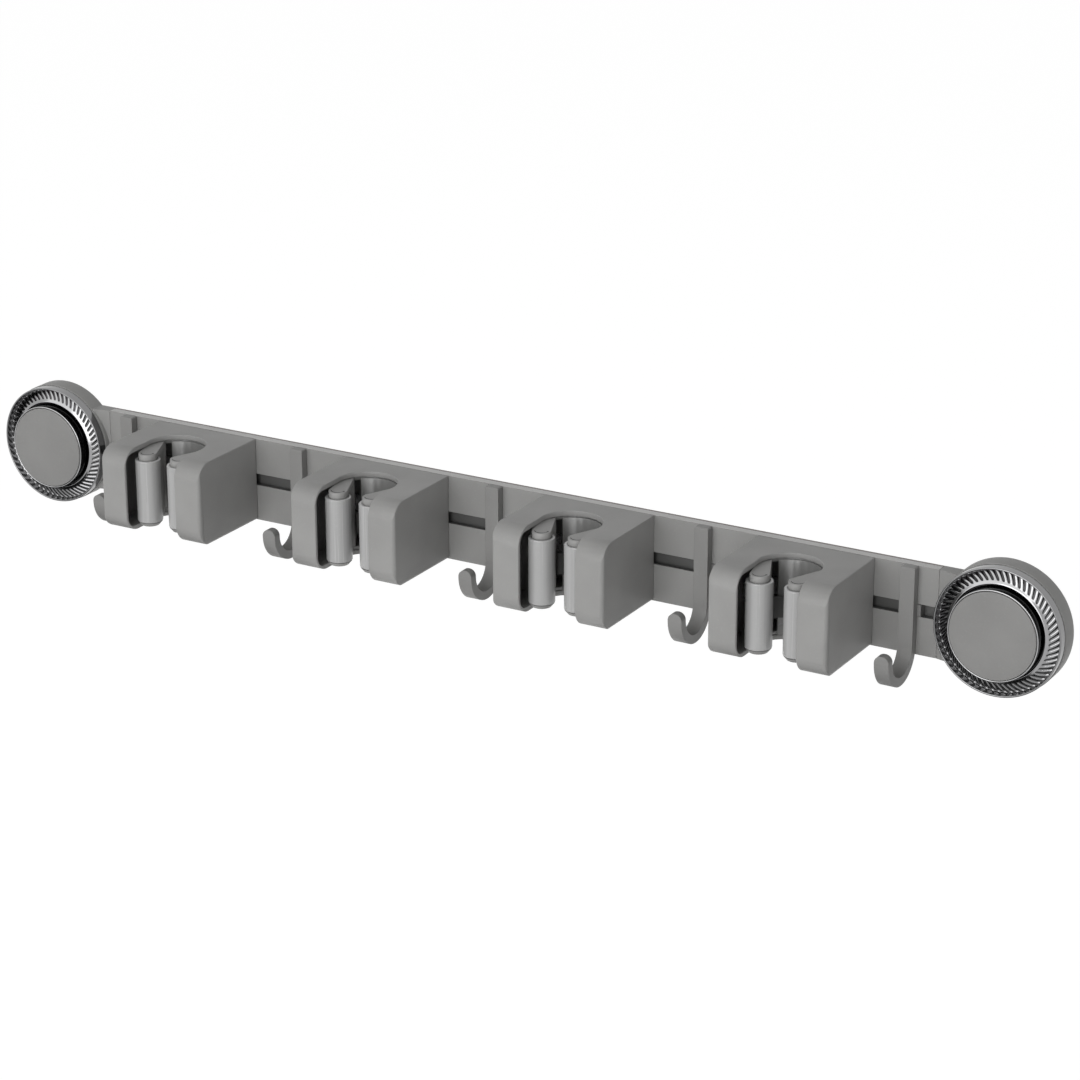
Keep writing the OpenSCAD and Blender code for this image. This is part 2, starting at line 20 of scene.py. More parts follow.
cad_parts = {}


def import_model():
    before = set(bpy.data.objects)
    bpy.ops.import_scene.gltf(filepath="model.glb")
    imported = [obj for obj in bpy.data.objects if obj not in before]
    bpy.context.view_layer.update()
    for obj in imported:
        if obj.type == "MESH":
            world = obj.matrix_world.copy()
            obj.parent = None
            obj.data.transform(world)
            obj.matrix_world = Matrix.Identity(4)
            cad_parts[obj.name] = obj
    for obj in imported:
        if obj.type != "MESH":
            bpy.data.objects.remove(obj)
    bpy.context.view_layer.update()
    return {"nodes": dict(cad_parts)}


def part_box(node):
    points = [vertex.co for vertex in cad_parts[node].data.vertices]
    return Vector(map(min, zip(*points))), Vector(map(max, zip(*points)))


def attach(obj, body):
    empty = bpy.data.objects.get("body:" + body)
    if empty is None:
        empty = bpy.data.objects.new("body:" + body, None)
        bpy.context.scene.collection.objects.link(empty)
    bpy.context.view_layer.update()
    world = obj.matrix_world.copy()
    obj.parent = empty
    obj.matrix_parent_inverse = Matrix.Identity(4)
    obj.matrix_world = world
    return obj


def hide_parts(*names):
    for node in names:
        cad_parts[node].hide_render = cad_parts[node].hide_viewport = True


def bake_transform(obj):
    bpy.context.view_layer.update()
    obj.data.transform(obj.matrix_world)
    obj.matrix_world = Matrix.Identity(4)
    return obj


LOG = logging.getLogger("rack")
MM = 0.001
# The mesh attribute that holds the fluted ring's painted shade and painted dark reflections
PAINTED_SHADE_ATTRIBUTE = "painted_shade_amount"
ON_AXIS = 1e-9
WHITE = (1.0, 1.0, 1.0, 1.0)
# How far from a bend a profile has a point that keeps the wall's shade flat
HOLD = 0.2
CLIPS = 4
HOOKS = 5

Node = bpy.types.Node
Object = bpy.types.Object
Socket = bpy.types.NodeSocket
Point = tuple[float, float]
Triple = tuple[float, float, float]
Place = Callable[[float, float, float], Triple]
Row = Callable[[float], Point]


class Side(Enum):
    """The two ends of the rack, and the two jaws of a clip."""

    LEFT = "left"
    RIGHT = "right"

    @property
    def sign(self) -> int:
        """-1 on the left and 1 on the right."""
        return -1 if self is Side.LEFT else 1


class Finish(Enum):
    """The finishes that the pieces are dressed in."""

    SHELL = "shell plastic"
    HOOK = "hook plastic"
    MOUNT = "mount plastic"
    RAIL = "rail plastic"
    PLATE = "plate plastic"
    JAW = "jaw plastic"
    CORE = "core plastic"
    ROLLER = "roller satin"
    BAND = "band rubber"
    MARK = "painted groove shade"
    CUP = "cup rubber"
    CHROME = "dark chrome"
    STEEL = "spring steel"


# Shader building


@dataclass
class Nodes:
    """A node tree with short ways to add its nodes and feed their inputs."""

    tree: bpy.types.NodeTree

    def add(self, kind: str, feeds: dict[str | int, object] | None = None, **values: object) -> Node:
        """Adds a node.

        Args:
            kind: the node's type name.
            feeds: what its inputs get, by name or number.
            **values: its properties.

        Returns:
            The new node.
        """
        node = self.tree.nodes.new(kind)
        for key, value in values.items():
            setattr(node, key, value)
        for key, value in (feeds or {}).items():
            self.feed(node.inputs[key], value)
        return node

    def feed(self, target: Socket, value: object) -> None:
        """Links a socket to an input, or sets a plain value on it.

        Args:
            target: the input.
            value: an output socket, a number or a colour.
        """
        if isinstance(value, Socket):
            self.tree.links.new(value, target)
        else:
            target.default_value = value

    def noise(self, vector: Socket, scale: object, detail: float) -> Socket:
        """Adds a noise texture.

        Args:
            vector: where the noise is read.
            scale: cells in a metre, a socket or a number.
            detail: octaves.

        Returns:
            The noise value, from 0 to 1.
        """
        feeds = {"Scale": scale, "Detail": detail, "Vector": vector}
        return self.add("ShaderNodeTexNoise", feeds).outputs["Fac"]

    def remap(self, value: Socket, low: float, high: float, to_low: float, to_high: float) -> Socket:
        """Maps a value from one range to another, clamped.

        Args:
            value: the value to map.
            low: the start of its range.
            high: the end of its range.
            to_low: what low becomes.
            to_high: what high becomes.

        Returns:
            The mapped value's socket.
        """
        feeds = {"Value": value, "From Min": low, "From Max": high, "To Min": to_low, "To Max": to_high}
        return self.add("ShaderNodeMapRange", feeds).outputs["Result"]

    def math(self, kind: str, first: Socket, second: object) -> Socket:
        """Adds a math node.

        Args:
            kind: the operation.
            first: the first value's socket.
            second: the second value, a socket or a number.

        Returns:
            The result's socket.
        """
        return self.add("ShaderNodeMath", {0: first, 1: second}, operation=kind).outputs[0]

    def mix(self, factor: Socket, first: object, second: object) -> Socket:
        """Mixes two colours.

        Args:
            factor: how much of the second shows.
            first: a colour or a socket.
            second: a colour or a socket.

        Returns:
            The mixed colour's socket.
        """
        first, second = (c if isinstance(c, Socket) else (*c, 1.0) for c in (first, second))
        return self.add("ShaderNodeMix", {0: factor, 6: first, 7: second}, data_type="RGBA").outputs[2]


@dataclass(frozen=True)
class GroupSocket:
    """A named socket of a shader group."""

    name: str
    kind: str = "NodeSocketFloat"
    value: float | None = None


def new_group(
    name: str, inputs: Sequence[GroupSocket], outputs: Sequence[GroupSocket]
) -> tuple[Nodes, Node, Node]:
    """Makes an empty shader group.

    Args:
        name: the group's name.
        inputs: its input sockets.
        outputs: its output sockets.

    Returns:
        The group's Nodes, its input node and its output node.
    """
    tree = bpy.data.node_groups.new(name, "ShaderNodeTree")
    for direction, sockets in (("INPUT", inputs), ("OUTPUT", outputs)):
        for spec in sockets:
            made = tree.interface.new_socket(spec.name, in_out=direction, socket_type=spec.kind)
            if spec.value is not None:
                made.default_value = spec.value
    nodes = Nodes(tree)
    return nodes, nodes.add("NodeGroupInput"), nodes.add("NodeGroupOutput")


def new_material(name: str) -> tuple[bpy.types.Material, Nodes, Node, Node]:
    """Makes a material.

    Args:
        name: its name.

    Returns:
        The material, its Nodes, its Principled shader and its output node.
    """
    material = bpy.data.materials.new(name)
    material.use_nodes = True
    tree = material.node_tree
    return material, Nodes(tree), tree.nodes["Principled BSDF"], tree.nodes["Material Output"]


class Effects:
    """The shader groups that several materials share, built once."""

    def __init__(self) -> None:
        """Builds every group."""
        self.grain = self._grain()
        self.edge = self._edge()
        self.streaks = self._streaks()

    def _grain(self) -> bpy.types.NodeTree:
        """Builds the fine grain of a spark-eroded mould.

        Returns:
            A group with Height, Mottle and Dust outputs.
        """
        nodes, start, end = new_group(
            "Mould grain",
            [GroupSocket("Grain", value=2600.0), GroupSocket("Cloud", value=34.0)],
            [GroupSocket("Height"), GroupSocket("Mottle"), GroupSocket("Dust")],
        )
        where = nodes.add("ShaderNodeTexCoord").outputs["Object"]
        scale = start.outputs["Grain"]
        fine = nodes.noise(where, scale, 3.0)
        pits = nodes.add("ShaderNodeTexVoronoi", {"Vector": where, "Scale": scale})
        height = nodes.math("MULTIPLY", pits.outputs["Distance"], 0.5)
        nodes.feed(end.inputs["Height"], nodes.math("ADD", height, fine))
        cloud = nodes.noise(where, start.outputs["Cloud"], 4.0)
        nodes.feed(end.inputs["Mottle"], nodes.remap(cloud, 0.3, 0.7, 0.0, 1.0))
        specks = nodes.noise(where, 900.0, 1.0)
        nodes.feed(end.inputs["Dust"], nodes.remap(specks, 0.62, 0.72, 0.0, 1.0))
        return nodes.tree

    def _edge(self) -> bpy.types.NodeTree:
        """Builds the softened, slightly rubbed edges.

        Returns:
            A group with a Rub mask and a rounded Normal.
        """
        nodes, start, end = new_group(
            "Rubbed edge",
            [GroupSocket("Radius", value=0.0005), GroupSocket("Break up", value=260.0)],
            [GroupSocket("Rub"), GroupSocket("Normal", "NodeSocketVector")],
        )
        bevel = nodes.add("ShaderNodeBevel", {"Radius": start.outputs["Radius"]}, samples=6)
        rounded = bevel.outputs["Normal"]
        plain = nodes.add("ShaderNodeNewGeometry").outputs["Normal"]
        dot = nodes.add("ShaderNodeVectorMath", {0: rounded, 1: plain}, operation="DOT_PRODUCT")
        bend = nodes.remap(dot.outputs["Value"], 0.80, 0.995, 1.0, 0.0)
        where = nodes.add("ShaderNodeTexCoord").outputs["Object"]
        patches = nodes.noise(where, start.outputs["Break up"], 3.0)
        spots = nodes.remap(patches, 0.35, 0.65, 0.35, 1.0)
        nodes.feed(end.inputs["Rub"], nodes.math("MULTIPLY", bend, spots))
        nodes.feed(end.inputs["Normal"], rounded)
        return nodes.tree

    def _streaks(self) -> bpy.types.NodeTree:
        """Builds long faint streaks along one axis, as turned pieces have.

        Returns:
            A group with a Streak value.
        """
        nodes, start, end = new_group(
            "Drawn streaks",
            [GroupSocket("Along", "NodeSocketVector"), GroupSocket("Fine", value=1.0)],
            [GroupSocket("Streak")],
        )
        where = nodes.add("ShaderNodeTexCoord").outputs["Object"]
        feeds = {0: where, 1: start.outputs["Along"]}
        stretched = nodes.add("ShaderNodeVectorMath", feeds, operation="MULTIPLY").outputs["Vector"]
        streak = nodes.noise(stretched, start.outputs["Fine"], 3.0)
        nodes.feed(end.inputs["Streak"], nodes.remap(streak, 0.3, 0.7, 0.0, 1.0))
        return nodes.tree


@dataclass(frozen=True)
class Surface:
    """What every finish has: a colour, a roughness, a cloudy unevenness and rubbed edges.

    The spread is what is added to the roughness where the cloud is thinnest and where it is
    thickest. The edge is a radius in metres, and the grain and the patches are cells in a metre.
    """

    name: str
    colour: Triple
    roughness: float
    specular: float = 0.5
    spread: tuple[float, float] = (0.0, 0.0)
    grain: float = 2600.0
    patches: float = 34.0
    mottle: float = 0.06
    rub: float = 0.12
    edge: float = 0.0004

    def make(self, effects: Effects) -> bpy.types.Material:
        """Builds the material.

        Args:
            effects: the shared shader groups.

        Returns:
            The finished material.
        """
        material, nodes, shader, _ = new_material(self.name)
        shader.inputs["Specular IOR Level"].default_value = self.specular
        feeds = {"Grain": self.grain, "Cloud": self.patches}
        grain = nodes.add("ShaderNodeGroup", feeds, node_tree=effects.grain)
        edge = nodes.add("ShaderNodeGroup", {"Radius": self.edge}, node_tree=effects.edge)
        cloud = self.cloud(nodes, effects, grain)
        colour = self.tint(nodes, cloud, edge.outputs["Rub"], grain.outputs["Dust"])
        nodes.feed(shader.inputs["Base Color"], self.paint(nodes, colour))
        low, high = (self.roughness + change for change in self.spread)
        nodes.feed(shader.inputs["Roughness"], nodes.remap(cloud, 0.0, 1.0, low, high))
        self.detail(nodes, shader, grain, edge)
        return material

    def cloud(self, nodes: Nodes, effects: Effects, grain: Node) -> Socket:
        """The value that makes the colour and the roughness uneven."""
        return grain.outputs["Mottle"]

    def paint(self, nodes: Nodes, colour: Socket) -> Socket:
        """The colour with what is painted over it."""
        return colour

    def detail(self, nodes: Nodes, shader: Node, grain: Node, edge: Node) -> None:
        """Adds what only this kind of finish has."""

    def tint(self, nodes: Nodes, cloud: Socket, rub: Socket, dust: Socket) -> Socket:
        """Varies the colour by cloudy patches, rubbed edges and specks.

        Args:
            nodes: the material's nodes.
            cloud: the cloud value.
            rub: the edge mask.
            dust: the speck mask.

        Returns:
            The colour's socket.
        """
        dark = [c * (1 - self.mottle) for c in self.colour]
        light = [min(1.0, c * (1 + self.mottle)) for c in self.colour]
        worn = [min(1.0, c * (1 + 4 * self.rub) + 0.02 * self.rub) for c in self.colour]
        speck = [min(1.0, c * (1 + self.rub)) for c in self.colour]
        clouded = nodes.mix(cloud, dark, light)
        dusted = nodes.mix(nodes.math("MULTIPLY", dust, 0.35), clouded, speck)
        return nodes.mix(nodes.math("MULTIPLY", rub, self.rub * 3), dusted, worn)


@dataclass(frozen=True)
class Moulded(Surface):
    """Matt moulded plastic or rubber with a fine raised grain."""

    spread: tuple[float, float] = (0.04, -0.04)
    relief: float = 0.25
    relief_depth: float = 0.00004

    def detail(self, nodes: Nodes, shader: Node, grain: Node, edge: Node) -> None:
        """Raises the grain over the rounded edges.

        Args:
            nodes: the material's nodes.
            shader: its Principled shader.
            grain: the grain group's node.
            edge: the edge group's node.
        """
        feeds = {"Strength": self.relief, "Distance": self.relief_depth}
        feeds |= {"Height": grain.outputs["Height"], "Normal": edge.outputs["Normal"]}
        bump = nodes.add("ShaderNodeBump", feeds)
        nodes.feed(shader.inputs["Normal"], bump.outputs["Normal"])


@dataclass(frozen=True)
class Banded(Moulded):
    """Moulded plastic with a painted highlight along the front of its top, painted shade on the back of its
    top and painted shade on the track inside its slot.
    """

    front: float = -12.0
    strip_w: float = 4.9
    top_z: float = 24.6
    top_flat: float = 0.9
    slot_z: float = 7.2
    slot_start: float = 0.3
    slot_deep: float = 6.0
    # Colours of the painted highlight along the front of the top, of the painted shade on its back and of
    # the painted shade inside the slot
    strip: Triple = (0.60, 0.595, 0.585)
    back: Triple = (0.19, 0.165, 0.155)
    painted_shade: Triple = (0.11, 0.11, 0.108)

    def paint(self, nodes: Nodes, colour: Socket) -> Socket:
        """Paints shade on the track inside the slot, and on the top a highlight along the front strip and
        shade behind it.

        Args:
            nodes: the material's nodes.
            colour: the plain colour's socket.

        Returns:
            The painted colour's socket.
        """
        read = nodes.add("ShaderNodeTexCoord").outputs
        where = nodes.add("ShaderNodeSeparateXYZ", {"Vector": read["Object"]}).outputs
        upward = nodes.add("ShaderNodeSeparateXYZ", {"Vector": read["Normal"]}).outputs["Z"]
        depth = nodes.math("SUBTRACT", where["Y"], self.front * MM)
        height = nodes.math("ABSOLUTE", where["Z"], 0.0)
        on_top = nodes.math("GREATER_THAN", where["Z"], self.top_z * MM)
        on_top = nodes.math("MULTIPLY", on_top, nodes.math("GREATER_THAN", upward, self.top_flat))
        in_slot = nodes.math("LESS_THAN", height, self.slot_z * MM)
        in_slot = nodes.math("MULTIPLY", in_slot, nodes.math("LESS_THAN", depth, self.slot_deep * MM))
        behind = nodes.math("GREATER_THAN", depth, self.slot_start * MM)
        # Painted shade on the track inside the slot
        colour = nodes.mix(nodes.math("MULTIPLY", in_slot, behind), colour, self.painted_shade)
        # Painted highlight on the front strip of the top, painted shade behind it
        strip = nodes.math("GREATER_THAN", depth, self.strip_w * MM)
        return nodes.mix(on_top, colour, nodes.mix(strip, self.strip, self.back))


@dataclass(frozen=True)
class Satin(Moulded):
    """Smooth satin plastic with faint streaks along an upright axis."""

    spread: tuple[float, float] = (-0.03, 0.05)
    stretch: Triple = (900.0, 900.0, 12.0)

    def cloud(self, nodes: Nodes, effects: Effects, grain: Node) -> Socket:
        """The streaks, in place of the cloudy patches."""
        feeds = {"Along": self.stretch}
        return nodes.add("ShaderNodeGroup", feeds, node_tree=effects.streaks).outputs["Streak"]


@dataclass(frozen=True)
class Plated(Surface):
    """Metal or dark chrome plating with faint handling smudges."""

    spread: tuple[float, float] = (0.0, 0.05)
    patches: float = 120.0
    # Share of the colour that stays where the painted shade is deepest; 1 paints none
    painted_shade_keeps: float = 1.0

    def paint(self, nodes: Nodes, colour: Socket) -> Socket:
        """Paints shade and dark reflections on the flutes, the rim and the drum, darkening each point by
        the share that the ring's mesh attribute holds.

        Args:
            nodes: the material's nodes.
            colour: the plain colour's socket.

        Returns:
            The colour's socket.
        """
        if self.painted_shade_keeps == 1.0:
            return colour
        share = nodes.add("ShaderNodeAttribute", attribute_name=PAINTED_SHADE_ATTRIBUTE).outputs["Fac"]
        return nodes.mix(share, colour, [c * self.painted_shade_keeps for c in self.colour])

    def detail(self, nodes: Nodes, shader: Node, grain: Node, edge: Node) -> None:
        """Makes it metal."""
        shader.inputs["Metallic"].default_value = 1.0


@dataclass(frozen=True)
class Cloudy(Surface):
    """Soft cloudy clear rubber."""

    spread: tuple[float, float] = (0.0, 0.08)
    clear: float = 0.35
    bending: float = 1.45

    def detail(self, nodes: Nodes, shader: Node, grain: Node, edge: Node) -> None:
        """Lets light through."""
        shader.inputs["Transmission Weight"].default_value = self.clear
        shader.inputs["IOR"].default_value = self.bending


GREY = (0.294, 0.292, 0.286)
PALE = (0.330, 0.328, 0.322)
DULL = (0.250, 0.248, 0.243)

FINISHES: dict[Finish, Surface] = {
    Finish.SHELL: Moulded("shell_plastic", PALE, 0.46, specular=0.28, edge=0.0006),
    Finish.HOOK: Moulded("hook_plastic", DULL, 0.5, specular=0.45, edge=0.0004),
    Finish.MOUNT: Moulded("mount_plastic", GREY, 0.5, specular=0.45, edge=0.0006),
    Finish.RAIL: Banded("rail_plastic", GREY, 0.46, specular=0.45, edge=0.0004, rub=0.16),
    Finish.PLATE: Moulded("plate_plastic", DULL, 0.42, specular=0.45, grain=3400.0, relief=0.2),
    Finish.JAW: Moulded("jaw_plastic", PALE, 0.5, specular=0.4, edge=0.0003),
    # Darker than the shell, which paints the shade inside the housing
    Finish.CORE: Moulded("core_plastic", (0.20, 0.20, 0.196), 0.3, specular=0.7, rub=0.05),
    Finish.ROLLER: Satin("roller_satin", (0.42, 0.42, 0.418), 0.24, specular=0.8, relief=0.12, mottle=0.03),
    # Near black, which paints the shade in the groove and the pit on each jaw's cap
    Finish.MARK: Moulded("painted_groove_shade", (0.012, 0.012, 0.012), 0.5, specular=0.3, rub=0.05),
    Finish.BAND: Moulded("band_rubber", (0.12, 0.12, 0.118), 0.68, specular=0.3, grain=1800.0),
    Finish.CUP: Cloudy("cup_rubber", (0.72, 0.73, 0.74), 0.28, mottle=0.03),
    # The chrome keeps a tenth of its colour where the painted shade of the ring is deepest
    Finish.CHROME: Plated(
        "dark_chrome", (0.40, 0.40, 0.405), 0.13, mottle=0.04, rub=0.05, edge=0.0002, painted_shade_keeps=0.10
    ),
    Finish.STEEL: Plated(
        "spring_steel", (0.60, 0.60, 0.61), 0.22, spread=(0.0, 0.12), mottle=0.05, edge=0.0001
    ),
}


class Wardrobe:
    """Makes each material once and hands it out."""

    def __init__(self) -> None:
        """Builds the shared groups and every finish."""
        effects = Effects()
        self.materials = {finish: surface.make(effects) for finish, surface in FINISHES.items()}

    def dress(self, thing: Object, finish: Finish) -> None:
        """Gives an object one finish.

        Args:
            thing: the object.
            finish: the finish that it gets.
        """
        material = self.materials[finish]
        for slot in thing.material_slots:
            slot.material = material
        if not thing.material_slots:
            thing.data.materials.append(material)


# Mesh building


@dataclass(frozen=True)
class Softening:
    """Rounds the sharp edges of a piece with modifiers."""

    width: float
    segments: int = 3
    angle: float = 32.0
    flat: float = 0.6
    weld: float = 0.002

    def apply(self, thing: Object) -> None:
        """Adds the modifiers to an object.

        Args:
            thing: the object to soften.
        """
        weld = thing.modifiers.new("weld", "WELD")
        weld.merge_threshold = self.weld * MM
        flatten = thing.modifiers.new("flatten", "DECIMATE")
        flatten.decimate_type = "DISSOLVE"
        flatten.angle_limit = math.radians(self.flat)
        bevel = thing.modifiers.new("round", "BEVEL")
        bevel.width = self.width * MM
        bevel.segments = self.segments
        bevel.limit_method = "ANGLE"
        bevel.angle_limit = math.radians(self.angle)
        bevel.harden_normals = True
        bevel.use_clamp_overlap = True


def new_object(
    name: str, verts: Sequence[Triple], faces: Sequence[Sequence[int]], sharp: float = 35.0
) -> Object:
    """Makes a mesh object with outward normals.

    Args:
        name: the piece's name.
        verts: its points, in metres.
        faces: its faces, as indices.
        sharp: the angle above which an edge stays sharp, in degrees.

    Returns:
        The new object.
    """
    mesh = bpy.data.meshes.new(name)
    mesh.from_pydata(verts, [], faces)
    work = bmesh.new()
    work.from_mesh(mesh)
    bmesh.ops.recalc_face_normals(work, faces=work.faces)
    work.to_mesh(mesh)
    work.free()
    mesh.shade_smooth()
    mesh.set_sharp_from_angle(angle=math.radians(sharp))
    thing = bpy.data.objects.new(name, mesh)
    bpy.context.scene.collection.objects.link(thing)
    return thing


def arc(centre: Point, radius: float, start: float, end: float, steps: int) -> list[Point]:
    """Points on a round stretch of a profile.

    Args:
        centre: its centre.
        radius: its radius.
        start: the angle of its first point, in degrees.
        end: the angle of its last point, in degrees.
        steps: how many pieces it is cut in.

    Returns:
        The points, both ends included.
    """
    angles = [math.radians(start + (end - start) * k / steps) for k in range(steps + 1)]
    return [(centre[0] + radius * math.cos(a), centre[1] + radius * math.sin(a)) for a in angles]


def divide(points: Sequence[Point], step: float) -> list[Point]:
    """Cuts the long pieces of a profile into short ones.

    Args:
        points: the profile.
        step: the longest piece that stays.

    Returns:
        The finer profile.
    """
    fine: list[Point] = []
    for a, b in zip(points[:-1], points[1:]):
        count = max(1, math.ceil(math.dist(a, b) / step))
        fine += [(a[0] + (b[0] - a[0]) * k / count, a[1] + (b[1] - a[1]) * k / count) for k in range(count)]
    return [*fine, points[-1]]


def lathe(
    name: str, rows: Sequence[Point | Row], count: int, place: Place, closed: bool = False
) -> Object:
    """Turns a profile round an axis.

    Args:
        name: the piece's name.
        rows: the profile's points as radius and height, or functions of the angle that give them.
        count: how many places round the axis.
        place: maps radius, height and angle to a point in metres.
        closed: whether the profile's last point joins its first.

    Returns:
        The new object.
    """
    verts: list[Triple] = []
    rings: list[list[int]] = []
    for point in rows:
        row = point if callable(point) else fixed(point)
        radius, height = row(0.0)
        if radius < ON_AXIS:
            rings.append([len(verts)] * count)
            verts.append(place(0.0, height, 0.0))
            continue
        rings.append(list(range(len(verts), len(verts) + count)))
        for angle in (math.tau * k / count for k in range(count)):
            verts.append(place(*row(angle), angle))
    pairs = list(zip(rings[:-1], rings[1:]))
    if closed:
        pairs.append((rings[-1], rings[0]))
    faces = []
    for first, second in pairs:
        for k in range(count):
            after = (k + 1) % count
            face = list(dict.fromkeys([first[k], first[after], second[after], second[k]]))
            if len(face) > 2:
                faces.append(face)
    return new_object(name, verts, faces)


def fixed(point: Point) -> Row:
    """A profile point that is the same all the way round."""
    return lambda angle: point


def upright(x: float, y: float) -> Place:
    """Maps a piece that is turned round an upright axis.

    Args:
        x: where the axis is, in millimetres.
        y: where the axis is, in millimetres.

    Returns:
        The function from radius, height and angle to a point in metres.
    """
    return lambda radius, height, angle: (
        (x + radius * math.cos(angle)) * MM,
        (y + radius * math.sin(angle)) * MM,
        height * MM,
    )


def tube(sections: int, width: int) -> list[tuple[int, ...]]:
    """Lists the faces of a closed tube whose points come section by section.

    Args:
        sections: how many sections it has.
        width: how many points each section has.

    Returns:
        Its side faces, then its two ends.
    """
    faces: list[tuple[int, ...]] = []
    for k in range(sections - 1):
        for j in range(width):
            a, b = k * width + j, k * width + (j + 1) % width
            faces.append((a, b, b + width, a + width))
    last = (sections - 1) * width
    return [*faces, tuple(range(width)), tuple(range(last, last + width))]


def sheet(name: str, x: float, y: float, z: float, half: float) -> Object:
    """Makes a level square sheet.

    Args:
        name: its name.
        x: where its middle is.
        y: where its middle is.
        z: how high it lies.
        half: half of its side.

    Returns:
        The new object.
    """
    corners = ((-half, -half), (half, -half), (half, half), (-half, half))
    return new_object(name, [(x + a, y + b, z) for a, b in corners], [(0, 1, 2, 3)])


# The pieces


@dataclass
class Piece:
    """What every sub-assembly shares: the frame's nodes and the finishes."""

    nodes: dict[str, Object]
    wardrobe: Wardrobe

    def carry(self, node: str, finish: Finish, soften: Softening | None = None) -> None:
        """Keeps a frame node and dresses it.

        Args:
            node: its name.
            finish: its finish.
            soften: how its edges are rounded, if they are.
        """
        thing = self.nodes[node]
        self.wardrobe.dress(thing, finish)
        if soften:
            soften.apply(thing)
        LOG.info("kept %s", node)

    def fit(self, thing: Object, body: str, slot: str, finish: Finish, *stands_for: str) -> None:
        """Dresses a new piece and lets it ride on a body.

        Args:
            thing: the new piece.
            body: the body that it rides on.
            slot: not used.
            finish: its finish.
            *stands_for: the frame nodes that it replaces.
        """
        self.wardrobe.dress(thing, finish)
        if stands_for:
            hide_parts(*stands_for)
        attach(thing, body)
        LOG.info("built %s", thing.name)


@dataclass
class Rail(Piece):
    """The slotted bar that lies on the wall."""

    edge: float = 0.35

    def build(self) -> None:
        """Dresses the rail."""
        self.carry("rail", Finish.RAIL, Softening(self.edge))


@dataclass
class Hook(Piece):
    """A flat hook with the runner behind it."""

    number: int = 1
    edge: float = 0.5

    def build(self) -> None:
        """Dresses the hook."""
        self.carry(f"hook_{self.number}", Finish.HOOK, Softening(self.edge))


